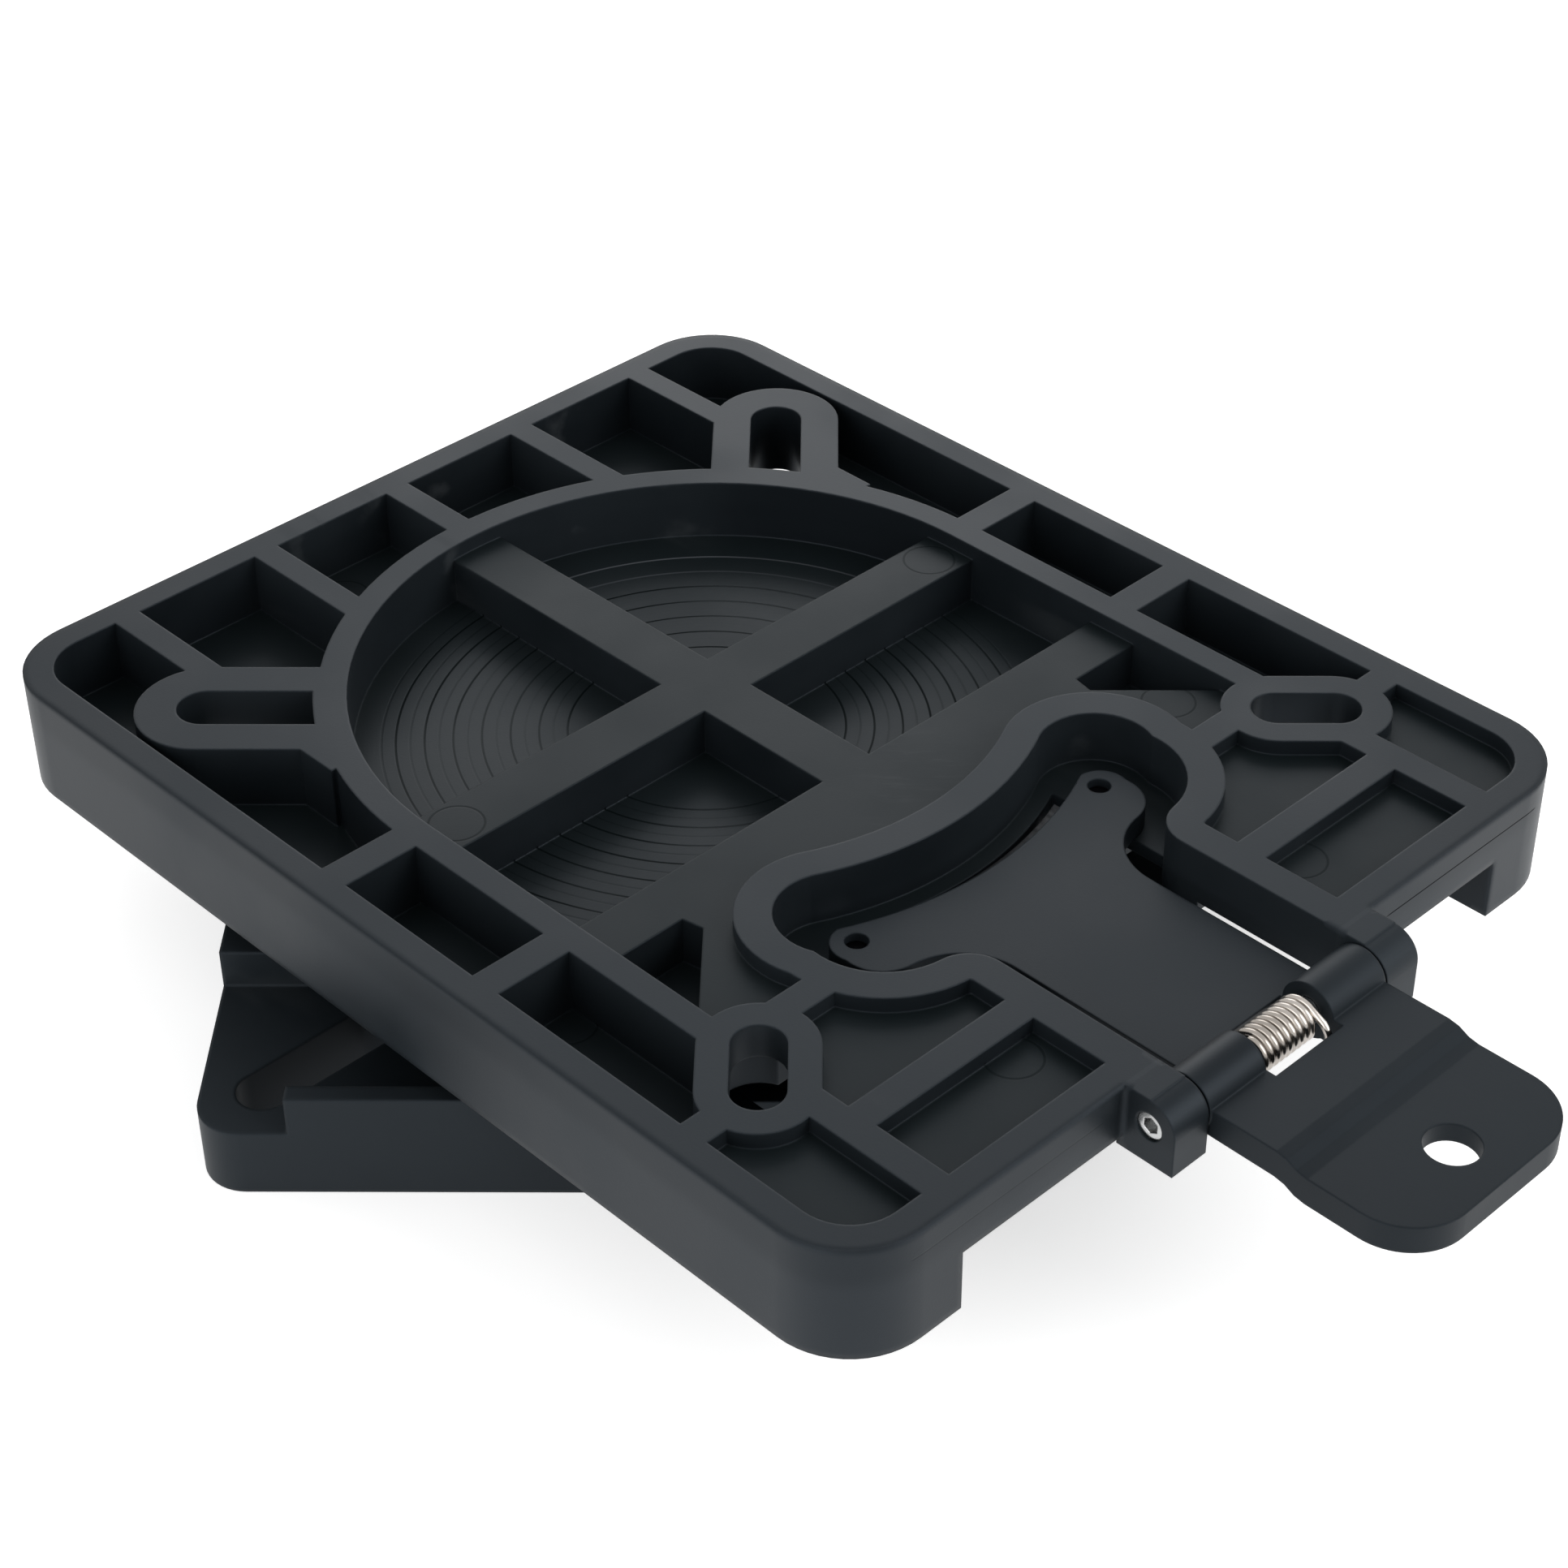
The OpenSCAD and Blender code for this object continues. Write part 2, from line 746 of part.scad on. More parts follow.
module swivel_disc() {
    color("#4d545b") difference() {
        translate([0, 0, disc_z]) cylinder(r = disc_r, h = disc_t);
        slab(disc_top_z - slip_t + disc_gap - slip_land, disc_top_z + over) difference() {
            circle(r = slip_r + slip_land);
            circle(r = slip_r - slip_w - slip_land);
        }
        screw_places() {
            translate([0, 0, disc_z - over]) cylinder(d = screw_d + 2 * screw_clear, h = disc_t + 2 * over);
            translate([0, 0, screw_top - screw_cone])
                cylinder(r1 = screw_d / 2 + screw_fit, r2 = screw_head_r + screw_fit, h = screw_cone);
            translate([0, 0, screw_top - eps])
                cylinder(r = screw_head_r + screw_fit, h = screw_sink + over);
        }
    }
}

module slip_ring() {
    color("#e8e6df") slab(disc_top_z - slip_t + disc_gap - slip_land, disc_top_z + disc_gap - slip_land)
        difference() {
            circle(r = slip_r);
            circle(r = slip_r - slip_w);
        }
}

module disc_screws() {
    color("#b8bcc0") screw_places() difference() {
        union() {
            translate([0, 0, screw_top - screw_cone])
                cylinder(r1 = screw_d / 2, r2 = screw_head_r, h = screw_cone);
            translate([0, 0, screw_top - screw_l]) cylinder(d = screw_d, h = screw_l - screw_cone + eps);
        }
        translate([0, 0, screw_top - drive_h]) cylinder(d = drive_d, h = drive_h + over, $fn = 6);
    }
}

// Square outline with the front and back corners cut off
module base_outline(inset) {
    intersection() {
        round_rect(-base_hw + inset, -base_hw + inset, base_hw - inset, base_hw - inset,
            base_corner_r - inset);
        rotate(diagonal) square([2 * base_corner, 2 * (base_cut_y - inset)], center = true);
    }
}

module base_top() {
    slab(0, flange_h) base_outline(0);
    slab(0, base_h) intersection() {
        base_outline(0);
        union() {
            translate([-base_hw, -band_hw]) square([base_w, 2 * band_hw]);
            for (y = [-base_hw, base_hw - base_lip_t])
                translate([-base_lip_hl, y]) square([2 * base_lip_hl, base_lip_t]);
        }
    }
    cylinder(r = hub_r, h = disc_z);
}

// Solid blocks round a pair of slots, turned by angle
module slot_pads(angle, r, length) {
    w = base_slot_w + 2 * base_wall;
    for (s = [-1, 1]) rotate(angle) translate([s * (r - length / 2), 0])
        square([length + w, w], center = true);
}

module slot_pair(r, length) {
    for (s = [-1, 1]) slab(-over, base_h + over)
        capsule([s * (r - length), 0], [s * r, 0], base_slot_w / 2);
}

module base_hollow() {
    w = base_wall;
    slab(-over, flange_h - w) difference() {
        base_outline(w);
        circle(r = hub_r);
        for (x = [-band_hw, band_hw]) translate([x - w / 2, -base_hw]) square([w, base_w]);
        translate([-base_hw, -w / 2]) square([base_w, w]);
        slot_pads(diagonal, base_slot_r, base_slot_l);
        slot_pads(-diagonal, short_slot_r, short_slot_l);
    }
    slab(flange_h - w - eps, base_h - w) difference() {
        translate([-base_hw + w, -band_hw + w]) square([base_w - 2 * w, 2 * (band_hw - w)]);
        circle(r = hub_r);
        for (x = [-band_hw, band_hw]) translate([x - w / 2, -base_hw]) square([w, base_w]);
        translate([-base_hw, -w / 2]) square([base_w, w]);
    }
    slab(-over, disc_z - w) difference() {
        circle(r = hub_r - w);
        for (i = [0.5:2.5]) rotate(i * hub_rib_step) translate([-hub_r, -w / 2]) square([2 * hub_r, w]);
        rotate(diagonal) for (i = [0:screw_n - 1]) rotate(i * full_turn / screw_n)
            translate([screw_circle_r, 0]) circle(r = screw_post_r);
    }
}

module base_plate() {
    color("#3f464e") difference() {
        rotate(-diagonal) difference() {
            base_top();
            base_hollow();
        }
        slot_pair(base_slot_r, base_slot_l);
        rotate(right_angle) slot_pair(short_slot_r, short_slot_l);
        screw_places() translate([0, 0, screw_top - screw_l - over])
            cylinder(d = screw_d, h = screw_l);
    }
}

seat_plate();
base_plate();
swivel_disc();
disc_screws();
slip_ring();
release_lever();
latch_plate();
latch_screws();
hinge_screw();
hinge_insert();
torsion_spring();
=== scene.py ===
"""Looks of the swivel seat base: satin black mouldings, bright steel, and marks of moulding and use."""
import math

import bpy
from mathutils import Matrix, Vector


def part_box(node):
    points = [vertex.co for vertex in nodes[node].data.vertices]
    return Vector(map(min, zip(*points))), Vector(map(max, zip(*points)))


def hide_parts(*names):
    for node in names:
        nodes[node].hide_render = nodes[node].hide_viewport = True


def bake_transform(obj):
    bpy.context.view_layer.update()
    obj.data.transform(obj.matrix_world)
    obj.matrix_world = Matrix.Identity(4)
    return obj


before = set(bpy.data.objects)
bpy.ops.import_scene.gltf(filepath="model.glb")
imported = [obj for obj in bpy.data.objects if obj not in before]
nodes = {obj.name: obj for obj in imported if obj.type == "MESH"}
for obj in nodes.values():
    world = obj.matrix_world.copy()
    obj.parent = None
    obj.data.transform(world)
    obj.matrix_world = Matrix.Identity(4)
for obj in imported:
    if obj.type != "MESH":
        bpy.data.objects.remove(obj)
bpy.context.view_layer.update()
MM = 0.001

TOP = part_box("seat_plate")[1].z
LAND = TOP - 3 * MM
POCKET_FLOOR = TOP - 12 * MM
SEAT_FRONT = -124.5 * MM


# Node helpers

def new_material(name):
    """A fresh node material with its tree, output and shader."""
    material = bpy.data.materials.new(name)
    material.use_nodes = True
    tree = material.node_tree
    return material, tree, tree.nodes["Principled BSDF"]


def link(tree, source, target):
    tree.links.new(source, target)


def math_node(tree, operation, a, b=None, clamp=False):
    """A math node; a and b are numbers or sockets. Returns its output."""
    node = tree.nodes.new("ShaderNodeMath")
    node.operation = operation
    node.use_clamp = clamp
    for socket, value in zip(node.inputs, (a, b)):
        if value is None:
            continue
        if isinstance(value, (int, float)):
            socket.default_value = value
        else:
            link(tree, value, socket)
    return node.outputs[0]


def ramp(tree, value, low, high, out_low=0.0, out_high=1.0):
    """Maps value from low..high to out_low..out_high, smoothly and clamped."""
    node = tree.nodes.new("ShaderNodeMapRange")
    node.interpolation_type = "SMOOTHSTEP"
    node.inputs["From Min"].default_value = low
    node.inputs["From Max"].default_value = high
    node.inputs["To Min"].default_value = out_low
    node.inputs["To Max"].default_value = out_high
    link(tree, value, node.inputs["Value"])
    return node.outputs["Result"]


def noise(tree, vector, scale, detail=3.0, stretch=None):
    """Noise at the given scale; stretch squeezes the pattern along an axis."""
    if stretch:
        mapping = tree.nodes.new("ShaderNodeMapping")
        mapping.inputs["Scale"].default_value = stretch
        link(tree, vector, mapping.inputs["Vector"])
        vector = mapping.outputs["Vector"]
    node = tree.nodes.new("ShaderNodeTexNoise")
    node.inputs["Scale"].default_value = scale
    node.inputs["Detail"].default_value = detail
    link(tree, vector, node.inputs["Vector"])
    return node.outputs["Fac"]


def band(tree, value, centre, half, soft):
    """1 where value is within half of centre, falling to 0 over soft."""
    away = math_node(tree, "ABSOLUTE", math_node(tree, "SUBTRACT", value, centre))
    return ramp(tree, away, half, half + soft, 1.0, 0.0)


def times(tree, *values):
    product = values[0]
    for value in values[1:]:
        product = math_node(tree, "MULTIPLY", product, value)
    return product


def mix_colour(tree, factor, a, b):
    node = tree.nodes.new("ShaderNodeMix")
    node.data_type = "RGBA"
    link(tree, factor, node.inputs["Factor"])
    for socket, value in ((node.inputs["A"], a), (node.inputs["B"], b)):
        if isinstance(value, tuple):
            socket.default_value = (*value, 1.0)
        else:
            link(tree, value, socket)
    return node.outputs["Result"]


def object_axes(tree):
    """Object coordinates as a vector and as separate x, y and z."""
    coordinates = tree.nodes.new("ShaderNodeTexCoord").outputs["Object"]
    split = tree.nodes.new("ShaderNodeSeparateXYZ")
    link(tree, coordinates, split.inputs["Vector"])
    return coordinates, split.outputs["X"], split.outputs["Y"], split.outputs["Z"]


def radius_from(tree, x, y, cx=0.0, cy=0.0):
    dx = math_node(tree, "SUBTRACT", x, cx)
    dy = math_node(tree, "SUBTRACT", y, cy)
    squares = math_node(tree, "ADD", times(tree, dx, dx), times(tree, dy, dy))
    return math_node(tree, "SQRT", squares)


# Moulded plastic

PLASTIC_DARK = (0.005, 0.0068, 0.0085)
PLASTIC_LIGHT = (0.01, 0.013, 0.0155)
SHEEN = 0.215
SHEEN_TINT = (0.74, 0.86, 1.0, 1.0)
EDGE_RADIUS = 0.5 * MM
OUTER_RADIUS = 1.8 * MM
GROOVE_SHADE = (0.001, 0.0014, 0.002)
GROOVE_HIGHLIGHT = (0.16, 0.17, 0.19)
SCUFF_PALE = (0.06, 0.066, 0.07)
RUBBED_PALE = (0.05, 0.055, 0.058)
RECESSED_SHADE = (0.0035, 0.0062, 0.0062)
RUBBED_X, RUBBED_Y = 5.0 * MM, -44.0 * MM


def turning_marks(tree, coordinates, x, y, z):
    """Fine rings on the floors of the four pockets inside the ring.

    Returns the dark lines, painted shade in the grooves, and the pale ones in the outer part of the back
    pocket, a painted highlight where the groove walls face the light.
    """
    pitch, start = 2.5675 * MM, 0.65 * MM
    first, last = 23 * MM, 60.5 * MM
    r = radius_from(tree, x, y)
    steps = math_node(tree, "DIVIDE", math_node(tree, "SUBTRACT", r, start), pitch)
    line = band(tree, math_node(tree, "FRACT", steps), 0.5, 0.045, 0.07)
    pair = math_node(tree, "FRACT", math_node(tree, "DIVIDE", steps, 2.0))
    odd = ramp(tree, pair, 0.49, 0.51)
    strong = ramp(tree, pair, 0.49, 0.51, 0.4, 1.0)
    worn = ramp(tree, noise(tree, coordinates, 26.0, 1.0), 0.34, 0.6, 0.55, 1.0)
    inside = times(tree, ramp(tree, r, first, first + MM), ramp(tree, r, last - MM, last, 1.0, 0.0))
    floor = band(tree, z, POCKET_FLOOR, 0.3 * MM, 0.2 * MM)
    lines = times(tree, line, worn, inside, floor)
    back = times(tree, ramp(tree, x, 2 * MM, 5 * MM), ramp(tree, y, 2 * MM, 5 * MM))
    far = times(tree, back, ramp(tree, r, 46.5 * MM, 49 * MM))
    catching = times(tree, far, odd, ramp(tree, r, 48 * MM, 57 * MM, 0.3, 1.0))
    near = math_node(tree, "SUBTRACT", 1.0, far)
    weak_behind = ramp(tree, back, 0.0, 1.0, 1.0, 0.15)
    strong = math_node(tree, "MAXIMUM", times(tree, strong, weak_behind), odd)
    return times(tree, lines, strong, near), times(tree, lines, catching)


def ejector_marks(tree, x, y, z):
    """Faint circles where the mould's pins pushed the part out."""
    places = (
        (-57.7, 0.0, 45.0), (57.7, 0.0, 45.0), (-71.8, -43.9, 36.0), (71.8, -43.9, 36.0),
        (54.3, -61.7, 45.0), (34.9, -106.3, 45.0), (-34.9, -106.3, 45.0), (-20.0, 80.0, 36.0),
    )
    radius = 4.8 * MM
    total = None
    for px, py, pz in places:
        r = radius_from(tree, x, y, px * MM, py * MM)
        mark = times(
            tree, band(tree, r, radius, 0.12 * MM, 0.2 * MM), band(tree, z, pz * MM, 0.4 * MM, 0.2 * MM)
        )
        total = mark if total is None else math_node(tree, "MAXIMUM", total, mark)
    return total


def parting_line(tree, x, y, z):
    """The thin line on the front wall where the mould's parts met, fainter on the left half."""
    height = TOP - 4.6 * MM
    line = band(tree, z, height, 0.08 * MM, 0.15 * MM)
    right = times(tree, ramp(tree, x, 34 * MM, 36 * MM), ramp(tree, x, 80 * MM, 83 * MM, 1.0, 0.0))
    left = times(tree, ramp(tree, x, -83 * MM, -80 * MM), ramp(tree, x, -36 * MM, -34 * MM, 0.3, 0.0))
    along = math_node(tree, "MAXIMUM", right, left)
    front = ramp(tree, y, SEAT_FRONT + 0.1 * MM, SEAT_FRONT + 0.3 * MM, 1.0, 0.0)
    return times(tree, line, along, front)


def outline_distance(tree, x, y):
    """How far inside the seat plate's rounded outline a point lies."""
    half_x, half_y, middle, corner = 89.0 * MM, 108.5 * MM, -16.0 * MM, 15.0 * MM
    dx = math_node(tree, "SUBTRACT", math_node(tree, "ABSOLUTE", x), half_x - corner)
    dy = math_node(tree, "ABSOLUTE", math_node(tree, "SUBTRACT", y, middle))
    dy = math_node(tree, "SUBTRACT", dy, half_y - corner)
    outer = [math_node(tree, "MAXIMUM", value, 0.0) for value in (dx, dy)]
    squares = [times(tree, value, value) for value in outer]
    reach = math_node(tree, "SQRT", math_node(tree, "ADD", *squares))
    within = math_node(tree, "MINIMUM", math_node(tree, "MAXIMUM", dx, dy), 0.0)
    return math_node(tree, "SUBTRACT", corner, math_node(tree, "ADD", reach, within))


def rubbed_patch(tree, x, y, z):
    """The pale scratches on the front band, left of the middle."""
    place = times(
        tree, band(tree, x, RUBBED_X, 8.0 * MM, 8.0 * MM), band(tree, y, RUBBED_Y, 5.0 * MM, 6.0 * MM),
        band(tree, z, LAND, 0.3 * MM, 0.2 * MM),
    )
    turned = tree.nodes.new("ShaderNodeCombineXYZ")
    link(tree, math_node(tree, "SUBTRACT", x, y), turned.inputs["X"])
    link(tree, math_node(tree, "ADD", x, y), turned.inputs["Y"])
    turned = turned.outputs["Vector"]
    scratches = ramp(tree, noise(tree, turned, 420.0, 4.0, (0.16, 1.0, 1.0)), 0.5, 0.66)
    patches = ramp(tree, noise(tree, turned, 90.0, 3.0, (0.6, 1.0, 1.0)), 0.38, 0.6)
    return times(tree, place, patches, math_node(tree, "ADD", scratches, 0.25))


# Painted shade: the level faces below the top get a darker, greener colour and a lower specular level.
def recessed_shade(tree, z):
    """The level faces below the top, which look duller and a little greener in the photo."""
    normal = tree.nodes.new("ShaderNodeNewGeometry").outputs["True Normal"]
    split = tree.nodes.new("ShaderNodeSeparateXYZ")
    link(tree, normal, split.inputs["Vector"])
    level = ramp(tree, split.outputs["Z"], 0.6, 0.9)
    return times(tree, level, ramp(tree, z, TOP - 2.4 * MM, TOP - 0.8 * MM, 1.0, 0.0))


# Painted sheen: a mask of the front outer walls, whose specular level is raised to brighten them.
def front_wall_sheen(tree, x, y):
    """The outer walls towards the front, which look brighter in the photo."""
    outer = band(tree, outline_distance(tree, x, y), 0.0, 0.3 * MM, 0.3 * MM)
    return times(tree, outer, ramp(tree, y, -105 * MM, -10 * MM, 1.0, 0.0))


def plastic(name, marks=False, edge=EDGE_RADIUS, sheen=SHEEN):
    """Satin black plastic: fine grain, faint flow mottling, soft edges and a few scuffs."""
    material, tree, shader = new_material(name)
    coordinates, x, y, z = object_axes(tree)
    mottle = ramp(tree, noise(tree, coordinates, 22.0, 4.0), 0.3, 0.7)
    colour = mix_colour(tree, mottle, PLASTIC_DARK, PLASTIC_LIGHT)
    streaks = noise(tree, coordinates, 90.0, 5.0, (1.0, 0.18, 1.0))
    spread = ramp(tree, noise(tree, coordinates, 12.0, 2.0), 0.5, 0.7)
    scuff = times(tree, ramp(tree, streaks, 0.6, 0.74), spread)
    colour = mix_colour(tree, math_node(tree, "MULTIPLY", scuff, 0.3), colour, SCUFF_PALE)
    grain = noise(tree, coordinates, 2600.0, 2.0)
    wave = noise(tree, coordinates, 160.0, 3.0)
    height = math_node(tree, "ADD", grain, math_node(tree, "MULTIPLY", wave, 1.2))
    if marks:
        lines, groove_highlights = turning_marks(tree, coordinates, x, y, z)
        pins = ejector_marks(tree, x, y, z)
        seam = parting_line(tree, x, y, z)
        cut = math_node(tree, "MAXIMUM", lines, seam)
        cut = math_node(tree, "MAXIMUM", cut, math_node(tree, "MULTIPLY", pins, 0.5))
        # Painted shade: the turning grooves, the seam line and the pin rings get a near-black colour
        # here and a low specular level below, on top of their bump.
        colour = mix_colour(tree, math_node(tree, "MULTIPLY", cut, 0.85), colour, GROOVE_SHADE)
        height = math_node(tree, "SUBTRACT", height, math_node(tree, "MULTIPLY", cut, 6.0))
        rubbed = rubbed_patch(tree, x, y, z)
        colour = mix_colour(tree, math_node(tree, "MULTIPLY", rubbed, 0.4), colour, RUBBED_PALE)
        # Painted highlight: pale lines on the lit groove walls in the outer part of the back pocket.
        colour = mix_colour(tree, groove_highlights, colour, GROOVE_HIGHLIGHT)
        # Painted shade on the level faces below the top.
        recessed = recessed_shade(tree, z)
        colour = mix_colour(tree, math_node(tree, "MULTIPLY", recessed, 0.6), colour, RECESSED_SHADE)
    link(tree, colour, shader.inputs["Base Color"])
    gloss = ramp(tree, mottle, 0.0, 1.0, 0.40, 0.50)
    gloss = math_node(tree, "ADD", gloss, math_node(tree, "MULTIPLY", scuff, 0.15))
    link(tree, gloss, shader.inputs["Roughness"])
    shader.inputs["Specular Tint"].default_value = SHEEN_TINT
    if marks:
        # The specular level carries painted light and shade: lower on the grooves and on recessed faces,
        # higher on faces more than 9 mm below the top and on the front outer walls.
        level = times(
            tree, ramp(tree, cut, 0.0, 1.0, sheen, 0.02),
            ramp(tree, recessed, 0.0, 1.0, 1.0, 0.7),
            ramp(tree, z, TOP - 9 * MM, TOP - 5 * MM, 1.22, 1.0),
            ramp(tree, front_wall_sheen(tree, x, y), 0.0, 1.0, 1.0, 1.2),
        )
        link(tree, level, shader.inputs["Specular IOR Level"])
    else:
        shader.inputs["Specular IOR Level"].default_value = sheen
    bump = tree.nodes.new("ShaderNodeBump")
    bump.inputs["Strength"].default_value = 0.16
    bump.inputs["Distance"].default_value = 0.06 * MM
    soft = tree.nodes.new("ShaderNodeBevel")
    soft.samples = 6
    soft.inputs["Radius"].default_value = edge
    if marks:
        rounded = band(tree, outline_distance(tree, x, y), 0.9 * MM, 1.6 * MM, 1.0 * MM)
        link(tree, ramp(tree, rounded, 0.0, 1.0, edge, OUTER_RADIUS), soft.inputs["Radius"])
    link(tree, height, bump.inputs["Height"])
    link(tree, soft.outputs["Normal"], bump.inputs["Normal"])
    link(tree, bump.outputs["Normal"], shader.inputs["Normal"])
    return material


# Metals and the slip ring

def metal(name, colour, dull, rough, brushed=(1.0, 1.0, 1.0)):
    """Bare metal with fine brushing; dull is its darker colour."""
    material, tree, shader = new_material(name)
    coordinates = object_axes(tree)[0]
    grain = noise(tree, coordinates, 900.0, 4.0, brushed)
    stain = noise(tree, coordinates, 60.0, 3.0)
    tone = mix_colour(tree, ramp(tree, stain, 0.35, 0.75), colour, dull)
    link(tree, tone, shader.inputs["Base Color"])
    shader.inputs["Metallic"].default_value = 1.0
    link(tree, ramp(tree, grain, 0.3, 0.7, rough * 0.75, rough * 1.3), shader.inputs["Roughness"])
    bump = tree.nodes.new("ShaderNodeBump")
    bump.inputs["Strength"].default_value = 0.12
    bump.inputs["Distance"].default_value = 0.02 * MM
    soft = tree.nodes.new("ShaderNodeBevel")
    soft.samples = 6
    soft.inputs["Radius"].default_value = 0.3 * MM
    link(tree, grain, bump.inputs["Height"])
    link(tree, soft.outputs["Normal"], bump.inputs["Normal"])
    link(tree, bump.outputs["Normal"], shader.inputs["Normal"])
    return material


def slip_plastic(name):
    material, tree, shader = new_material(name)
    coordinates = object_axes(tree)[0]
    tone = ramp(tree, noise(tree, coordinates, 40.0, 3.0), 0.3, 0.7)
    link(tree, mix_colour(tree, tone, (0.66, 0.65, 0.6), (0.75, 0.74, 0.7)), shader.inputs["Base Color"])
    shader.inputs["Roughness"].default_value = 0.45
    return material


def dress(node, material):
    """Gives a CAD node one material in place of its own."""
    materials = nodes[node].data.materials
    materials.clear()
    materials.append(material)


dress("seat_plate", plastic("seat_plastic", marks=True))
dress("base_plate", plastic("base_plastic", edge=0.9 * MM))
dress("swivel_disc", plastic("disc_plastic"))
dress("release_lever", plastic("lever_plastic", sheen=0.18))
dress("hinge_screw", metal("screw_steel", (0.66, 0.67, 0.67), (0.45, 0.45, 0.45), 0.24))
dress("hinge_insert", metal("insert_brass", (0.8, 0.62, 0.3), (0.62, 0.45, 0.2), 0.3))
# The latch plate and its screws are near black, which keeps the gap behind the lever's head dark.
latch_steel = metal("latch_steel", (0.02, 0.021, 0.023), (0.01, 0.011, 0.012), 0.45, (1.0, 0.2, 1.0))
dress("latch_plate", latch_steel)
dress("latch_screws", metal("near_black_steel", (0.004, 0.004, 0.005), (0.002, 0.002, 0.003), 0.6))
dress("disc_screws", metal("plated_steel", (0.62, 0.63, 0.66), (0.45, 0.46, 0.5), 0.3))
dress("slip_ring", slip_plastic("slip_plastic"))


# The torsion spring, with a rounder wire and a leg that runs down under the handle

HINGE = Vector((0.0, -129.5 * MM, 42.7 * MM))
COIL_RADIUS = 3.35 * MM
WIRE_RADIUS = 0.65 * MM
COIL_PITCH = 1.42 * MM
COIL_START = -6.7 * MM
PIN_END = 0.8 * MM
TURNS = 9
STEPS = 48
WIRE_SIDES = 16
LEG_TURN = math.radians(120)
LEG_OUT = 5.9 * MM
LEG_BEND = 1.2 * MM
LEG_END = 15.0 * MM
LEG_UNDER = 37.9 * MM


def coil_point(turn, radius):
    """A point of the coil's middle line; turn is in radians from the hinge's +Y side."""
    x = COIL_START + COIL_PITCH * (turn - math.pi / 2) / math.tau
    return Vector((x, HINGE.y + radius * math.cos(turn), HINGE.z + radius * math.sin(turn)))


def leg_corner(a, b, c, steps=5):
    """A bend from a to c, drawn towards the corner b."""
    parts = [i / steps for i in range(steps + 1)]
    return [a * (1 - t) ** 2 + b * 2 * t * (1 - t) + c * t ** 2 for t in parts]


def spring_path():
    """The inner end in the screw, the turns, and the leg down through the lever's window."""
    last = math.tau * TURNS + LEG_TURN
    first = math.pi / 2
    count = round((last - first) / math.tau * STEPS)
    points = [coil_point(first, PIN_END), coil_point(first, COIL_RADIUS - PIN_END)]
    points += [coil_point(first + (last - first) * i / count, COIL_RADIUS) for i in range(1, count + 1)]
    x = points[-1].x
    out = HINGE.y - LEG_OUT
    above, knee = Vector((x, out, HINGE.z - LEG_BEND)), Vector((x, out, LEG_UNDER))
    points += leg_corner(
        Vector((x, out + LEG_BEND, HINGE.z + LEG_BEND)), Vector((x, out, HINGE.z)), above,
    )
    points += leg_corner(
        Vector((x, out, LEG_UNDER + LEG_BEND)), knee, Vector((x, out - LEG_BEND, LEG_UNDER)),
    )
    points += [Vector((x, HINGE.y - LEG_END, LEG_UNDER))]
    return points


def wire_mesh(name, points, radius, sides):
    """A round wire with closed ends along the points."""
    rings, faces = [], []
    for i, point in enumerate(points):
        ahead = (points[min(i + 1, len(points) - 1)] - points[max(i - 1, 0)]).normalized()
        across = (Vector((1, 0, 0)) - ahead * ahead.x).normalized()
        up = ahead.cross(across)
        for k in range(sides):
            a = math.tau * k / sides
            rings.append(point + (across * math.cos(a) + up * math.sin(a)) * radius)
    for i in range(len(points) - 1):
        for k in range(sides):
            a, b = i * sides + k, i * sides + (k + 1) % sides
            faces.append((a, b, b + sides, a + sides))
    faces.append(tuple(reversed(range(sides))))
    faces.append(tuple(range(len(rings) - sides, len(rings))))
    mesh = bpy.data.meshes.new(name)
    mesh.from_pydata(rings, [], faces)
    mesh.polygons.foreach_set("use_smooth", [len(face) == 4 for face in faces])
    mesh.update()
    piece = bpy.data.objects.new(name, mesh)
    bpy.context.scene.collection.objects.link(piece)
    return piece


spring = wire_mesh("spring_coil", spring_path(), WIRE_RADIUS, WIRE_SIDES)
spring.data.materials.append(metal("spring_steel", (0.5, 0.465, 0.43), (0.3, 0.27, 0.24), 0.2))
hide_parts("torsion_spring")
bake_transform(spring)


# Stage

def camera_to_scene():
    """The photograph's camera: a long lens, 37 degrees above the seat face, to the front left."""
    data = bpy.data.cameras.new("photo_camera")
    data.lens = 75.18
    data.sensor_width = 36.0
    data.clip_start = 0.01
    data.clip_end = 20.0
    camera = bpy.data.objects.new("photo_camera", data)
    bpy.context.scene.collection.objects.link(camera)
    right = Vector((0.7155, -0.6986, -0.0077))
    down = Vector((-0.4232, -0.4246, -0.8004))
    ahead = Vector((0.5558, 0.576, -0.5994))
    turn = Matrix((right, -down, -ahead)).transposed()
    camera.matrix_world = Matrix.Translation((-0.3223, -0.3538, 0.3809)) @ turn.to_4x4()
    bpy.context.scene.camera = camera


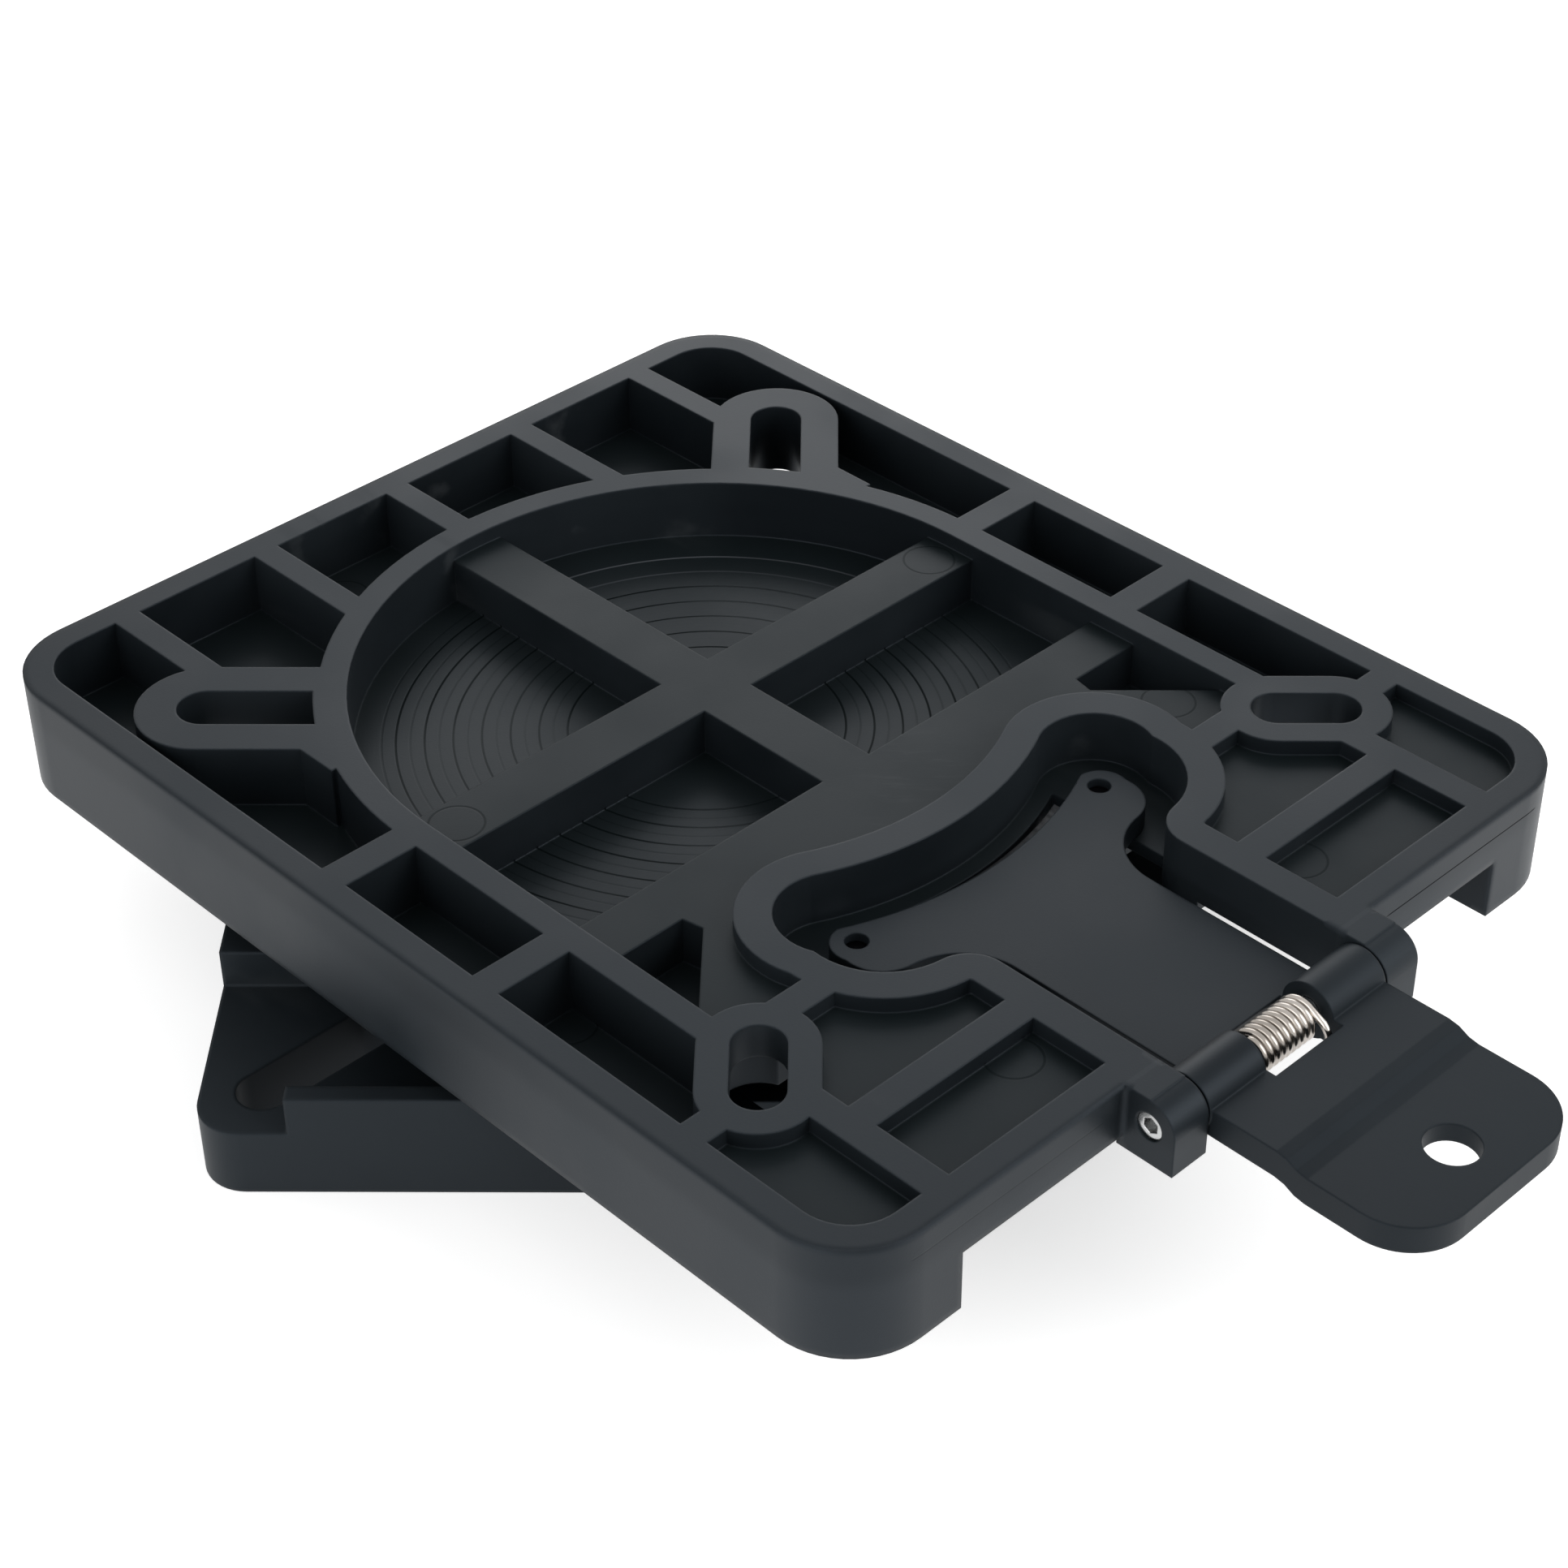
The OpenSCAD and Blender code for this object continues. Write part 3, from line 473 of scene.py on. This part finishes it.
def add_floor():
    """A plain white floor that keeps the shadow and shows white where light falls."""
    bpy.ops.mesh.primitive_plane_add(size=6.0, location=(0.0, 0.0, -0.0002))
    floor = bpy.context.object
    floor.name = "floor"
    material, tree, shader = new_material("floor_white")
    shader.inputs["Base Color"].default_value = (0.9, 0.9, 0.9, 1.0)
    shader.inputs["Roughness"].default_value = 0.9
    shader.inputs["Specular IOR Level"].default_value = 0.0
    shader.inputs["Emission Color"].default_value = (1.0, 1.0, 1.0, 1.0)
    path = tree.nodes.new("ShaderNodeLightPath").outputs
    seen = math_node(tree, "MAXIMUM", path["Is Camera Ray"], path["Is Glossy Ray"])
    seen = math_node(tree, "MAXIMUM", seen, path["Is Transmission Ray"])
    link(tree, math_node(tree, "MULTIPLY", seen, 0.55), shader.inputs["Emission Strength"])
    floor.data.materials.append(material)


def set_world():
    """White to the camera and to reflections, softer as light."""
    world = bpy.data.worlds.new("white_room")
    bpy.context.scene.world = world
    world.use_nodes = True
    tree = world.node_tree
    background = tree.nodes["Background"]
    background.inputs["Color"].default_value = (1.0, 1.0, 1.0, 1.0)
    path = tree.nodes.new("ShaderNodeLightPath").outputs
    seen = math_node(tree, "MAXIMUM", path["Is Camera Ray"], path["Is Glossy Ray"])
    seen = math_node(tree, "MAXIMUM", seen, path["Is Transmission Ray"])
    link(tree, ramp(tree, seen, 0.0, 1.0, 0.55, 1.0), background.inputs["Strength"])


def add_lamp(name, place, aim, size, power):
    data = bpy.data.lights.new(name, "AREA")
    data.shape = "SQUARE"
    data.size = size
    data.energy = power
    lamp = bpy.data.objects.new(name, data)
    bpy.context.scene.collection.objects.link(lamp)
    lamp.location = place
    lamp.rotation_euler = (Vector(aim) - Vector(place)).to_track_quat("-Z", "Y").to_euler()


camera_to_scene()
add_floor()
set_world()
add_lamp("key", (0.45, -1.0, 0.65), (0.0, 0.0, 0.03), 0.8, 7.5)
add_lamp("fill", (-1.05, -0.15, 0.4), (0.0, 0.0, 0.03), 0.9, 5.5)
add_lamp("rear", (0.85, 0.8, 0.6), (0.0, 0.0, 0.03), 0.8, 3.8)

bpy.context.scene.view_settings.view_transform = "Standard"
